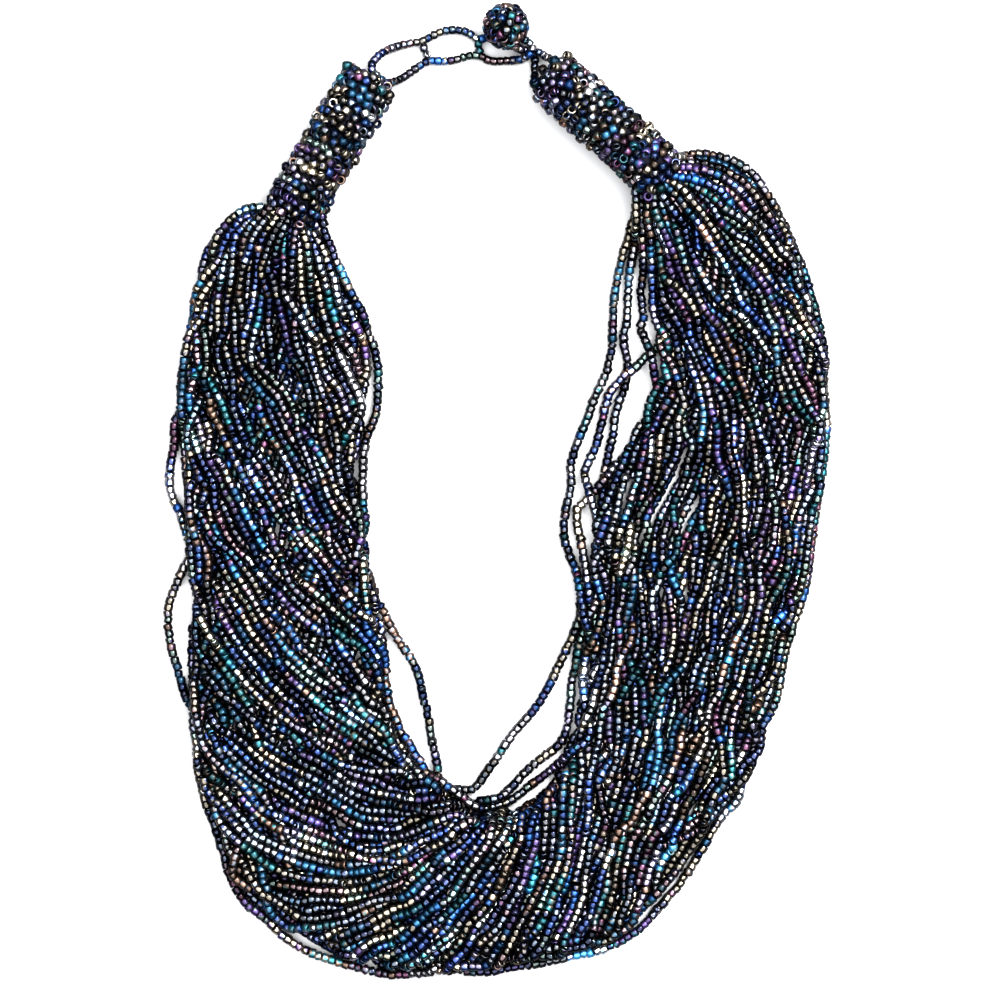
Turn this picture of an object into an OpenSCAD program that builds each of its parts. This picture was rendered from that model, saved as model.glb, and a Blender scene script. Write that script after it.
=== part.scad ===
// Multi strand seed bead necklace, lying on a flat surface with its clasp fastened.
// Millimetres. The origin is the middle of the plan, on the surface; +Y points to the clasp.

/* [Beads] */
// Outer diameter of a seed bead, which is also the thickness of a strand
bead_d = 2.2; // [2:0.05:2.25]

/* [Beaded tubes] */
// Outer diameter of the two beaded tubes
tube_d = 15.7; // [15.3:0.1:15.7]
// Thickness of their beaded wall
tube_wall = 2.2; // [1.8:0.1:2.2]
// Length of the left tube
left_tube_length = 41; // [39:0.5:41]
// Length of the right tube
right_tube_length = 40; // [38:0.5:40]
// Height of the gathered round end that closes each tube
tube_dome = 1; // [0.6:0.1:1]

/* [Bundle of strands] */
// Number of strands side by side on top of the bundle
ribs = 20; // [8:1:24]
// Depth of the groove between two of them, as a share of the bundle's height
rib_depth = 0.12; // [0:0.01:0.15]
// Width of the gathered bundle inside a tube
neck_width = 9; // [7:0.5:9]
// Height of the gathered bundle inside a tube
neck_height = 6.4; // [5:0.2:6.4]
// How far the bundle reaches into each tube
neck_reach = 12; // [8:1:20]

/* [Clasp] */
// Diameter of the beaded toggle ball
ball_d = 12.4; // [11:0.1:12.4]
// Height of the ball's centre, which rests on the clasp's string
ball_z = 8.1; // [8.1:0.1:8.5]

/* [Hidden] */

// Tubes: where the closed end is in plan, and the direction in which the mouth looks
left_tube_at = [-34, 109];
left_tube_turn = 239;
right_tube_at = [14.5, 110.5];
right_tube_turn = 318.5;
tube_z = tube_d / 2;
mouth_round = 0.8;
dome_step = 15;

// The floor height of a strand's middle, and the sides of its tube
lying = bead_d / 2;
string_sides = 8;

// Sections of the bundle, from the left mouth round the bottom to the right mouth.
// Each row goes across the strands, from the necklace's outer edge to its inner edge.
// Columns: outer x, outer y, inner x, inner y, underside height, crest height
OUTER_X = 0;
OUTER_Y = 1;
INNER_X = 2;
INNER_Y = 3;
LOW = 4;
CREST = 5;
bundle_table = [
    [-70,   75,     -46.5, 65.5,  1, 13],
    [-77,   67.5,   -41.5, 60,    0, 11],
    [-80.5, 56,     -38.5, 52,    0, 9],
    [-83,   44.5,   -36.5, 42,    0, 7.5],
    [-86,   29.5,   -36.5, 28.5,  0, 6.6],
    [-85.5, 17.5,   -37.5, 16,    0, 6.4],
    [-84,   3,      -38,   4,     0, 6.4],
    [-83.5, -11,    -36,   -8,    0, 6.4],
    [-82,   -27,    -33.5, -23,   0, 6.4],
    [-83,   -43,    -30,   -34.5, 0, 6.4],
    [-82.5, -56.5,  -29,   -44.5, 0, 6.4],
    [-81,   -73.5,  -28.5, -55.5, 0, 6.4],
    [-79.5, -85,    -25.5, -64.5, 0, 6.4],
    [-75.5, -96,    -21.5, -70.5, 0, 6.4],
    [-70.5, -105.5, -17,   -75.5, 0, 6.6],
    [-60.5, -115,   -12,   -79.5, 0, 6.6],
    [-50.5, -122,   -8,    -82,   0, 6.6],
    [-37,   -127.5, -4.5,  -84,   0, 6.6],
    [-22,   -131,   -2,    -84.5, 0, 6.6],
    [-6,    -131,   0.5,   -84,   0, 6.6],
    [10.5,  -129,   3.5,   -83,   0, 6.6],
    [26,    -125.5, 7,     -80,   0, 6.6],
    [38.5,  -117.5, 12,    -76,   0, 6.6],
    [47.5,  -110,   17,    -72,   0, 6.4],
    [54.5,  -100.5, 21,    -66.5, 0, 6.4],
    [60.5,  -90,    22.5,  -60,   0, 6.4],
    [67.5,  -82,    22.5,  -53.5, 0, 6.4],
    [71,    -73.5,  23,    -47,   0, 6.4],
    [72,    -65,    24,    -41.5, 0, 6.4],
    [76.5,  -56.5,  25.5,  -35.5, 0, 6.4],
    [79,    -44.5,  25,    -29,   0, 6.4],
    [82,    -35,    23.5,  -22,   0, 6.4],
    [85,    -23,    24,    -15.5, 0, 6.4],
    [86.5,  -11,    26.5,  -8,    0, 6.4],
    [88.5,  2.5,    30.5,  0.5,   0, 6.4],
    [89.5,  16,     37,    14.5,  0, 6.6],
    [89,    28.5,   43.5,  26.5,  0, 6.8],
    [88.5,  40,     43,    37.5,  0, 7.4],
    [85,    52.5,   41.5,  50,    0, 8.4],
    [81,    65,     41,    60,    0, 9.6],
    [76.5,  75,     40,    66.5,  0, 11],
    [68.5,  86,     39.5,  72,    0, 12.6],
    [57,    91.5,   40,    75.5,  1, 13.2]
];
// Spline steps between two rows, how square the crest's arch is,
// and where the flat underside's points lie across the width
bundle_steps = 2;
arch_power = 2.5;
underside = [0.95, 0.5, 0, -0.5, -0.95];
// The bundle's first and last sections lie this far outside the mouths
mouth_gap = 1;

// Loose strands that leave the bundle: [x, y] of their middle, all lying on the surface
left_upper_route = [[-86.5, 13], [-87.6, 8], [-88.2, 3], [-87.4, -2], [-85, -6.5]];
left_lower_route = [
    [-84, -20.5], [-86.6, -26], [-88.5, -31.5], [-88.5, -38], [-87.2, -44], [-85.5, -50], [-83.9, -56.2]
];
inner_left_upper_route = [[-35.3, 43.3], [-33, 38.5], [-32, 32.5], [-32, 26], [-32.8, 19.5], [-36, 12.5]];
inner_left_lower_route = [
    [-28, -38.5], [-24.5, -43.5], [-21.5, -48.5], [-20, -55], [-18.5, -61], [-17.5, -67.5], [-16, -74.2]
];
right_long_route = [
    [38.2, 75], [36.2, 71], [34.8, 65.5], [33.1, 60], [32, 54], [31.4, 48], [31.4, 42], [30.8, 36],
    [29, 30.5], [26.5, 25], [24.4, 19], [21.8, 13], [20, 7], [20, 1], [18.8, -5], [18, -11],
    [19.2, -16.5], [22, -23]
];
right_middle_route = [
    [38, 67.8], [36.4, 62], [35.6, 56.5], [35.4, 50.5], [35, 44.5], [34, 41.2], [34.8, 37],
    [35.3, 31.5], [34, 26.5], [32.2, 21], [31.6, 16], [30.4, 11], [29.5, 6], [28.6, 0]
];
right_link_route = [[39.6, 58.6], [38.7, 53], [39.4, 48.5], [39.2, 45], [37.6, 42.9]];
right_cross_route = [[30.6, 27.5], [29.4, 22.5], [28, 17], [26.8, 12], [24.6, 7], [22.5, 3.5]];
right_low_route = [[21.6, -3.5], [21.6, -9], [22.9, -14]];
bottom_long_route = [
    [23.3, -31.5], [22, -36], [20, -40.5], [17.5, -45.5], [15, -51], [12, -56.5], [8.2, -61.5],
    [4.5, -65.5], [1.5, -70], [-1.2, -74], [-4, -78], [-6.5, -82]
];
bottom_short_route = [
    [21.3, -46.5], [20.2, -51.5], [19.8, -57.5], [19.2, -63], [18, -67], [15.5, -70], [12, -72.2],
    [8.2, -75.5], [5.4, -78.5], [3.2, -81]
];

// The clasp's string of three loops: [x, y, z] of its middle, once round and back to the left tube
ladder_route = [
    [-33.3, 112.3, 6.8], [-33.3, 114.2, 6], [-31.5, 116.8, 4.2], [-29, 118.6, 2.4], [-26, 119.8, 1.3],
    [-23, 120.5, lying], [-20, 121, lying], [-17.4, 122.4, lying], [-14.4, 123.7, lying],
    [-11.2, 124, lying], [-8, 123.4, lying], [-5, 121.6, lying], [-1.8, 122.2, lying],
    [2, 122.3, lying], [5.3, 121.9, 1.4], [8, 120.8, 2.8], [9.6, 119, 3.5], [8.8, 117.1, 3],
    [6.3, 116, 1.7], [3.6, 115.8, lying], [1, 115.6, lying], [-1.8, 115.7, lying], [-4.5, 117, lying],
    [-7.7, 117, lying], [-11, 116, lying], [-14.2, 115.6, lying], [-18.4, 115.6, lying],
    [-21.5, 113.8, lying], [-24.5, 111.6, 1.3], [-27.1, 110, 3], [-29.3, 109.1, 5.4], [-31.6, 110.4, 6.5]
];
// The rungs between its loops run from the upper string to the lower one, just clear of both
rung_1_ends = [[-20, 121, lying], [-18.4, 115.6, lying]];
rung_2_ends = [[-5, 121.6, lying], [-4.5, 117, lying]];
rung_gap = 0.15;
// The ball, and the two strings that come from under it through the last loop to the right tube
ball_at = [2.5, 125.1];
stem_upper_route = [
    [4, 119.4, 4.4], [6, 118.7, 2.3], [8.4, 118.6, lying], [10.6, 118.3, lying], [12.6, 117.2, 1.7],
    [14.4, 115.8, 3.7], [15.3, 114.9, 5.6]
];
stem_lower_route = [[10.3, 115.8, lying], [10.2, 113.6, 1.4], [10.2, 111.3, 2.8], [10.3, 109.2, 4.8]];

bead_colour = [0.07, 0.09, 0.2];
tube_colour = [0.08, 0.12, 0.22];
clasp_colour = [0.12, 0.14, 0.2];

// Unit vector of a plan direction
function plan(turn) = [cos(turn), sin(turn)];

// Point of a Catmull-Rom curve between rows b and c, at share t of the way
function between(a, b, c, d, t) =
    b + (c - a) * (t / 2) + (a - 2.5 * b + 2 * c - d / 2) * pow(t, 2)
    + (1.5 * b - a / 2 - 1.5 * c + d / 2) * pow(t, 3);

// The rows with steps - 1 more between each two of them
function smoothed(rows, steps) =
    let (last = len(rows) - 1)
    concat(
        [for (i = [0:last - 1], k = [0:steps - 1])
            between(rows[max(i - 1, 0)], rows[i], rows[i + 1], rows[min(i + 2, last)], k / steps)],
        [rows[last]]
    );

// Triangles between rings of n points each; a closed skin joins its last ring to its first
function skin_faces(rings, n, closed) = concat(
    [for (r = [0:rings - (closed ? 1 : 2)], k = [0:n - 1])
        let (next = (r + 1) % rings, a = r * n + k, b = r * n + (k + 1) % n)
        [a, b, next * n + k]],
    [for (r = [0:rings - (closed ? 1 : 2)], k = [0:n - 1])
        let (next = (r + 1) % rings, b = r * n + (k + 1) % n)
        [b, next * n + (k + 1) % n, next * n + k]],
    closed ? [] : [[for (k = [n - 1:-1:0]) k], [for (k = [0:n - 1]) (rings - 1) * n + k]]
);

module skin(rings, closed = false) {
    n = len(rings[0]);
    polyhedron([for (ring = rings) each ring], skin_faces(len(rings), n, closed), convexity = 10);
}

// Direction of a route at point i
function heading(route, i, closed) =
    let (n = len(route),
         before = closed ? route[(i + n - 1) % n] : route[max(i - 1, 0)],
         after = closed ? route[(i + 1) % n] : route[min(i + 1, n - 1)])
    (after - before) / norm(after - before);

// Round ring of a string at point i of its route
function string_ring(route, i, closed) =
    let (along = heading(route, i, closed),
         side = cross(along, [0, 0, 1]) / norm(cross(along, [0, 0, 1])),
         up = cross(side, along))
    [for (k = [0:string_sides - 1])
        let (turn = (k + 0.5) * 360 / string_sides)
        route[i] + lying * (cos(turn) * side + sin(turn) * up)];

// A string of beads as one plain round body along its route
module string(route, closed = false) {
    skin([for (i = [0:len(route) - 1]) string_ring(route, i, closed)], closed);
}

module loose_strand(route) {
    color(bead_colour) string([for (p = route) [p.x, p.y, lying]]);
}

// Section of the bundle where it is gathered: at a tube's mouth, out beyond it (or inside, if
// negative), with the outer edge on the given side of the mouth's direction
function gathered(at, turn, length, out, side) =
    let (middle = at + plan(turn) * (length + out),
         outward = plan(turn + 90 * side) * neck_width / 2,
         outer = middle + outward,
         inner = middle - outward)
    [outer.x, outer.y, inner.x, inner.y, tube_z - neck_height / 2, tube_z + neck_height / 2];

function bundle_rows() = concat(
    [for (out = [-neck_reach, mouth_gap]) gathered(left_tube_at, left_tube_turn, left_tube_length, out, -1)],
    bundle_table,
    [for (out = [mouth_gap, -neck_reach]) gathered(right_tube_at, right_tube_turn, right_tube_length, out, 1)]
);

// Height of the crest's arch across the width, which runs from -1 to 1
function arch(across) = pow(1 - pow(abs(across), arch_power), 1 / arch_power);

// Ring of one bundle section, never below the surface: over the ribbed top from outer to inner,
// then back along the underside
function bundle_ring(row) =
    let (outer = [row[OUTER_X], row[OUTER_Y]],
         inner = [row[INNER_X], row[INNER_Y]],
         middle = (outer + inner) / 2,
         half = (inner - outer) / 2,
         low = max(row[LOW], 0),
         edge = low + lying)
    concat(
        [for (k = [0:2 * ribs])
            let (across = k / ribs - 1, groove = k % 2 == 0 ? rib_depth : 0, at = middle + half * across)
            [at.x, at.y, edge + (row[CREST] - edge) * arch(across) * (1 - groove)]],
        [for (across = underside)
            let (at = middle + half * across)
            [at.x, at.y, low]]
    );

module strand_bundle() {
    color(bead_colour)
        skin([for (row = smoothed(bundle_rows(), bundle_steps)) bundle_ring(row)]);
}

// Half outline of a beaded tube, as [radius, distance from the closed end]: open at its mouth,
// closed by a low round end
function tube_outline(length) =
    let (r = tube_d / 2, bore = r - tube_wall)
    concat(
        [for (a = [0:dome_step:90]) [r * sin(a), -tube_dome * cos(a)]],
        [[r, length - mouth_round], [r - mouth_round, length], [bore, length], [bore, tube_wall], [0, tube_wall]]
    );

module beaded_tube(at, turn, length) {
    color(tube_colour)
        translate([at.x, at.y, tube_z]) rotate([0, 90, turn])
            rotate_extrude($fn = 72) polygon(tube_outline(length));
}

module left_tube() {
    beaded_tube(left_tube_at, left_tube_turn, left_tube_length);
}

module right_tube() {
    beaded_tube(right_tube_at, right_tube_turn, right_tube_length);
}

module clasp_ladder() {
    color(clasp_colour) string(ladder_route, closed = true);
}

// A straight rung between two strings, shortened at both ends to stay clear of them
module clasp_rung(ends) {
    along = (ends[1] - ends[0]) / norm(ends[1] - ends[0]);
    inset = along * (lying + rung_gap);
    color(clasp_colour) string([ends[0] + inset, ends[1] - inset]);
}

module toggle_ball() {
    color(clasp_colour) translate([ball_at.x, ball_at.y, ball_z]) sphere(d = ball_d, $fn = 64);
}

module stem(route) {
    color(clasp_colour) string(route);
}

left_tube();
right_tube();
strand_bundle();
loose_strand(left_upper_route);  // stray_left_upper
loose_strand(left_lower_route);  // stray_left_lower
loose_strand(inner_left_upper_route);  // stray_inner_left_upper
loose_strand(inner_left_lower_route);  // stray_inner_left_lower
loose_strand(right_long_route);  // stray_right_long
loose_strand(right_middle_route);  // stray_right_middle
loose_strand(right_link_route);  // stray_right_link
loose_strand(right_cross_route);  // stray_right_cross
loose_strand(right_low_route);  // stray_right_low
loose_strand(bottom_long_route);  // stray_bottom_long
loose_strand(bottom_short_route);  // stray_bottom_short
clasp_ladder();
clasp_rung(rung_1_ends);  // clasp_rung_1
clasp_rung(rung_2_ends);  // clasp_rung_2
toggle_ball();
stem(stem_upper_route);  // stem_upper
stem(stem_lower_route);  // stem_lower
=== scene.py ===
import math

import bpy
import numpy as np
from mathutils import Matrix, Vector


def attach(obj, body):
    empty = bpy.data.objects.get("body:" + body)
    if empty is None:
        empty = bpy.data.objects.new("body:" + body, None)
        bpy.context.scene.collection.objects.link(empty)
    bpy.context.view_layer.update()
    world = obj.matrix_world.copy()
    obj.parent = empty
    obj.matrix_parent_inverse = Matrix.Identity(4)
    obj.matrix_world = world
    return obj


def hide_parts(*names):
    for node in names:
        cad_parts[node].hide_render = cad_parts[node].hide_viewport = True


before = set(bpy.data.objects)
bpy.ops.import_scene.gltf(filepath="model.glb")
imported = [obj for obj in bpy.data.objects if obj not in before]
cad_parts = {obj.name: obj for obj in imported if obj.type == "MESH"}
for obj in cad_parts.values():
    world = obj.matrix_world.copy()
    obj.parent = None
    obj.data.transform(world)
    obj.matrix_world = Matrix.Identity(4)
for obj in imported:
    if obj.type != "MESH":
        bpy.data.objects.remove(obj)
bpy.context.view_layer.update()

mm = 0.001

# Camera straight above the necklace
cameraView = {"aim": (0.9, -2.7), "frame": 270, "lens": 100, "sensor": 36}


def placeCamera(view):
    height = view["frame"] * view["lens"] / view["sensor"] * mm
    data = bpy.data.cameras.new("overheadCamera")
    data.lens, data.sensor_width = view["lens"], view["sensor"]
    data.clip_start, data.clip_end = 0.01, 20
    camera = bpy.data.objects.new("overheadCamera", data)
    camera.location = (view["aim"][0] * mm, view["aim"][1] * mm, height)
    bpy.context.collection.objects.link(camera)
    bpy.context.scene.camera = camera


placeCamera(cameraView)
print("camera placed")


# Node helpers: a wire is a socket that takes part in sums
class Wire:
    def __init__(self, tree, socket):
        self.tree, self.socket = tree, socket

    def join(self, operation, *items):
        return add(self.tree, "ShaderNodeMath", {"operation": operation}, dict(enumerate(items)))

    def __add__(self, other):
        return self.join("ADD", self, other)

    def __radd__(self, other):
        return self.join("ADD", other, self)

    def __sub__(self, other):
        return self.join("SUBTRACT", self, other)

    def __rsub__(self, other):
        return self.join("SUBTRACT", other, self)

    def __mul__(self, other):
        return self.join("MULTIPLY", self, other)

    def __rmul__(self, other):
        return self.join("MULTIPLY", other, self)

    def __truediv__(self, other):
        return self.join("DIVIDE", self, other)

    def __pow__(self, other):
        return self.join("POWER", self, other)

    def cos(self):
        return self.join("COSINE", self)

    def sin(self):
        return self.join("SINE", self)


def plug(tree, item, socket):
    if isinstance(item, Wire):
        tree.links.new(item.socket, socket)
    else:
        socket.default_value = item


def add(tree, kind, settings=None, sockets=None, want=0):
    node = tree.nodes.new(kind)
    for name, value in (settings or {}).items():
        setattr(node, name, value)
    for name, item in (sockets or {}).items():
        plug(tree, item, node.inputs[name])
    return Wire(tree, node.outputs[want])


def newMaterial(name):
    material = bpy.data.materials.new(name)
    material.use_nodes = True
    material.node_tree.nodes.clear()
    return material, material.node_tree


def finishMaterial(tree, sockets):
    shader = add(tree, "ShaderNodeBsdfPrincipled", {}, sockets)
    out = tree.nodes.new("ShaderNodeOutputMaterial")
    tree.links.new(shader.socket, out.inputs["Surface"])


# Dark metallic iris glass: each bead carries its own tint, a second, flashing one, and how satin it is
irisGlass = {
    "metal": 0.96, "rough": 0.15, "satin": 0.26, "roughSpread": 0.14, "edge": (0.04, 0.04, 0.05, 1),
    "coat": 0.25, "coatRough": 0.12, "patch": 620, "patchDetail": 2.0, "patchEdge": (0.47, 0.66),
    "grain": 5200, "grainDetail": 1.0, "bump": 0.05, "bumpDepth": 0.0001
}


def irisMaterial(name, look):
    material, tree = newMaterial(name)
    tint = add(tree, "ShaderNodeAttribute", {"attribute_name": "tint"})
    flash = add(tree, "ShaderNodeAttribute", {"attribute_name": "flash"})
    satin = add(tree, "ShaderNodeAttribute", {"attribute_name": "satin"}, want="Fac")
    place = add(tree, "ShaderNodeTexCoord", want="Object")
    patches = add(tree, "ShaderNodeTexNoise", {},
                  {"Vector": place, "Scale": look["patch"], "Detail": look["patchDetail"]})
    grain = add(tree, "ShaderNodeTexNoise", {},
                {"Vector": place, "Scale": look["grain"], "Detail": look["grainDetail"]})
    low, high = look["patchEdge"]
    mask = add(tree, "ShaderNodeMapRange", {"interpolation_type": "SMOOTHSTEP"},
               {"Value": patches, "From Min": low, "From Max": high})
    colour = add(tree, "ShaderNodeMix", {"data_type": "RGBA"}, {0: mask, 6: tint, 7: flash}, 2)
    bump = add(tree, "ShaderNodeBump", {},
               {"Height": grain, "Strength": look["bump"], "Distance": look["bumpDepth"]})
    roughness = look["rough"] + look["satin"] * satin + look["roughSpread"] * patches
    finishMaterial(tree, {"Base Color": colour, "Metallic": look["metal"], "Roughness": roughness,
                          "Specular Tint": look["edge"], "Coat Weight": look["coat"],
                          "Coat Roughness": look["coatRough"], "Normal": bump})
    return material


# Dark thread, used for the core that the tubes and the ball are sewn round
threadLook = {
    "dark": (0.002, 0.002, 0.004, 1), "pale": (0.012, 0.012, 0.02, 1), "scale": 2600, "detail": 3.0,
    "rough": 0.6, "roughSpread": 0.3, "gloss": 0.08, "bump": 0.5, "bumpDepth": 0.0002
}


def threadMaterial(name, look):
    material, tree = newMaterial(name)
    place = add(tree, "ShaderNodeTexCoord", want="Object")
    fibre = add(tree, "ShaderNodeTexNoise", {},
                {"Vector": place, "Scale": look["scale"], "Detail": look["detail"]})
    colour = add(tree, "ShaderNodeMix", {"data_type": "RGBA"},
                 {0: fibre, 6: look["dark"], 7: look["pale"]}, 2)
    bump = add(tree, "ShaderNodeBump", {},
               {"Height": fibre, "Strength": look["bump"], "Distance": look["bumpDepth"]})
    finishMaterial(tree, {"Base Color": colour, "Roughness": look["rough"] + look["roughSpread"] * fibre,
                          "Specular IOR Level": look["gloss"], "Normal": bump})
    return material


beadGlass = irisMaterial("irisGlass", irisGlass)
thread = threadMaterial("darkThread", threadLook)
print("materials made")

# The bundle's sections, from the left mouth round the bottom to the right mouth, in millimetres:
# outer x, outer y, inner x, inner y, underside height, crest height
bundleTable = [
    [-70, 75, -46.5, 65.5, 1, 13], [-77, 67.5, -41.5, 60, 0, 11], [-80.5, 56, -37.5, 52, 0, 9],
    [-83, 44.5, -34.9, 42, 0, 7.5], [-86, 29.5, -34.4, 28.5, 0, 6.6], [-85.8, 17.5, -36, 16, 0, 6.4],
    [-84.6, 3, -38, 4, 0, 6.4], [-83.5, -11, -36, -8, 0, 6.4], [-82, -27, -33.5, -23, 0, 6.4],
    [-83, -43, -30, -34.5, 0, 6.4], [-82.5, -56.5, -29, -44.5, 0, 6.4], [-81, -73.5, -28.5, -55.5, 0, 6.4],
    [-79.5, -85, -25.5, -64.5, 0, 6.4], [-75.5, -96, -21.5, -70.5, 0, 6.4],
    [-72, -106.5, -17, -75.5, 0, 6.6], [-62, -116.5, -12, -79.5, 0, 6.6], [-51.5, -124, -8, -82, 0, 6.6],
    [-37.5, -128.8, -4.5, -84, 0, 6.6], [-22, -131, -2, -84.5, 0, 6.6], [-6, -131, 0.5, -84, 0, 6.6],
    [10.5, -129, 3.5, -83, 0, 6.6], [26, -125.5, 7, -80, 0, 6.6], [39.3, -118.7, 12, -76, 0, 6.6],
    [47.5, -110, 17, -72, 0, 6.4], [54.5, -100.5, 21, -66.5, 0, 6.4], [60.5, -90, 22.5, -60, 0, 6.4],
    [67.5, -82, 22.5, -53.5, 0, 6.4], [71, -73.5, 23, -47, 0, 6.4], [72, -65, 24, -41.5, 0, 6.4],
    [76.5, -56.5, 25.5, -35.5, 0, 6.4], [79, -44.5, 25, -29, 0, 6.4], [82, -35, 23.5, -22, 0, 6.4],
    [85, -23, 24, -15.5, 0, 6.4], [86.5, -11, 26.5, -8, 0, 6.4], [88.5, 2.5, 30.5, 0.5, 0, 6.4],
    [89.5, 16, 37, 14.5, 0, 6.6], [89, 28.5, 43.5, 26.5, 0, 6.8], [88.5, 40, 43, 37.5, 0, 7.4],
    [85, 52.5, 41.5, 50, 0, 8.4], [81, 65, 41, 60, 0, 9.6], [76.5, 75, 40, 66.5, 0, 11],
    [68.5, 86, 39.5, 72, 0, 12.6], [57, 91.5, 40, 75.5, 1, 13.2]
]

# Loose strands that leave the bundle, by the CAD node they stand for
strayRoutes = {
    "stray_left_upper": [[-86.5, 13], [-87.6, 8], [-88.2, 3], [-87.4, -2], [-85, -6.5]],
    "stray_left_lower": [[-84, -20.5], [-86.6, -26], [-88.5, -31.5], [-88.5, -38], [-87.2, -44],
                         [-85.5, -50], [-83.9, -56.2]],
    "stray_inner_left_upper": [[-35.3, 43.3], [-33, 38.5], [-32, 32.5], [-32, 26], [-32.8, 19.5],
                               [-36, 12.5]],
    "stray_inner_left_lower": [[-28, -38.5], [-24.5, -43.5], [-21.5, -48.5], [-20, -55], [-18.5, -61],
                               [-17.5, -67.5], [-16, -74.2]],
    "stray_right_long": [[38.2, 75], [36.2, 71], [34.8, 65.5], [33.1, 60], [32, 54], [31.4, 48],
                         [31.4, 42], [30.8, 36], [29, 30.5], [26.5, 25], [24.4, 19], [21.8, 13], [20, 7],
                         [20, 1], [18.8, -5], [18, -11], [19.2, -16.5], [22, -23]],
    "stray_right_middle": [[38, 67.8], [36.4, 62], [35.6, 56.5], [35.4, 50.5], [35, 44.5], [34, 41.2],
                           [34.8, 37], [35.3, 31.5], [34, 26.5], [32.2, 21], [31.6, 16], [30.4, 11],
                           [29.5, 6], [28.6, 0]],
    "stray_right_link": [[39.6, 58.6], [38.7, 53], [39.4, 48.5], [39.2, 45], [37.6, 42.9]],
    "stray_right_cross": [[30.6, 27.5], [29.4, 22.5], [28, 17], [26.8, 12], [24.6, 7], [22.5, 3.5]],
    "stray_right_low": [[21.6, -3.5], [21.6, -9], [22.9, -14]],
    "stray_bottom_long": [[23.3, -31.5], [22, -36], [20, -40.5], [17.5, -45.5], [15, -51], [12, -56.5],
                          [8.2, -61.5], [4.5, -65.5], [1.5, -70], [-1.2, -74], [-4, -78], [-6.5, -82]],
    "stray_bottom_short": [[21.3, -46.5], [20.2, -51.5], [19.8, -57.5], [19.2, -63], [18, -67],
                           [15.5, -70], [12, -72.2], [8.2, -75.5], [5.4, -78.5], [3.2, -81]]
}

# Slits in which the surface shows between the strands
slitRoutes = [
    [[51.2, 11.9], [48.5, 3.8], [43.6, -4.9], [38.2, -13.5]], [[36.3, 4.3], [34.4, -2.7], [32.3, -9.7]],
    [[54.9, -1.6], [50.1, -10.8]],
    [[-39.3, -19.7], [-38.5, -27]], [[-39, -40], [-37.4, -44.6], [-35, -49.1]], [[52.2, -85.3], [53.9, -92.3]]
]

# The two beaded tubes: closed end in plan, direction of the mouth, and length
tubes = {
    "left_tube": {"at": (-34, 109), "turn": 239, "length": 41, "side": -1},
    "right_tube": {"at": (14.5, 110.5), "turn": 318.5, "length": 40, "side": 1}
}
tubeSize = {"radius": 7.85, "bore": 5.65, "height": 7.85, "neckWidth": 9, "neckHeight": 6.4,
            "neckReach": 12, "mouthGap": 1}


def spline(rows, step):
    rows = np.asarray(rows, float)
    padded = np.vstack([rows[:1], rows, rows[-1:]])
    t = np.arange(0, len(rows) - 1, step)
    k = t.astype(int)
    t = (t - k)[:, None]
    a, b, c, d = padded[k], padded[k + 1], padded[k + 2], padded[k + 3]
    curve = (b + (c - a) * (t / 2) + (a - 2.5 * b + 2 * c - d / 2) * t ** 2
             + (1.5 * (b - c) + (d - a) / 2) * t ** 3)
    return np.vstack([curve, rows[-1:]])


def spread(line, along, count):
    return np.stack([np.interp(count, along, line[:, k]) for k in range(line.shape[1])], axis=1)


def lengthAlong(line):
    return np.concatenate([[0], np.cumsum(np.linalg.norm(np.diff(line, axis=0), axis=1))])


def evenly(line, pitch):
    along = lengthAlong(line)
    return spread(line, along, np.linspace(0, along[-1], max(2, round(along[-1] / pitch) + 1)))


def gathered(tube, out):
    way = np.array([math.cos(math.radians(tube["turn"])), math.sin(math.radians(tube["turn"]))])
    outward = np.array([-way[1], way[0]]) * tube["side"] * tubeSize["neckWidth"] / 2
    middle = np.array(tube["at"]) + way * (tube["length"] + out)
    half = tubeSize["neckHeight"] / 2
    return [*(middle + outward), *(middle - outward), tubeSize["height"] - half, tubeSize["height"] + half]


def sectionTable():
    reach, gap = -tubeSize["neckReach"], tubeSize["mouthGap"]
    left, right = tubes["left_tube"], tubes["right_tube"]
    necks = [gathered(tube, out) for tube, out in ((left, reach), (left, gap), (right, gap), (right, reach))]
    table = spline(necks[:2] + bundleTable + necks[2:], 0.05)
    along = lengthAlong((table[:, 0:2] + table[:, 2:4]) / 2)
    return spread(table, along, np.arange(0, along[-1], 1.0))


# How the strands lie: their number and bead size, the twist of the bundle at shares of its length in radians
# a millimetre, and how they wander, as longest and shortest wave and its weight
bundlePlan = {
    "strands": 41, "seed": 13, "jitter": 0.05, "pitch": 1.88, "bead": 2.5, "uneven": 0.065,
    "sizes": (0.9, 1.08), "low": 1.1, "lowest": 1.35,
    "twist": ((0, 0), (0.08, 0), (0.12, 0.03), (0.16, 0.032), (0.2, 0.022), (0.25, 0.038), (0.29, 0.045),
              (0.34, 0.038), (0.38, 0.03), (0.41, 0.04), (0.43, 0.08), (0.45, 0.135), (0.47, 0.14),
              (0.51, 0.122), (0.54, 0.08), (0.57, 0.035), (0.6, 0.015), (0.65, 0), (0.7, -0.008),
              (0.74, -0.003), (0.78, 0.008), (0.82, 0.026), (0.86, 0.024), (0.9, 0.034), (1, 0)),
    "wander": 0.26, "wanderWaves": ((200, 400, 1.0), (70, 150, 0.9), (32, 60, 0.4)),
    "pile": 20.0, "pileWander": 4.5, "pileWaves": ((60, 160, 1), (160, 300, 1)),
    "ripple": 0.9, "rippleWaves": ((14, 26, 0.7), (26, 48, 1)),
    "ragged": 1.2, "raggedWaves": ((50, 120, 1), (22, 40, 0.5)), "raggedLeast": 0.1, "raggedRim": 0.4,
    "edgeRound": 0.25, "reach": 0.95, "hidden": 7
}

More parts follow.
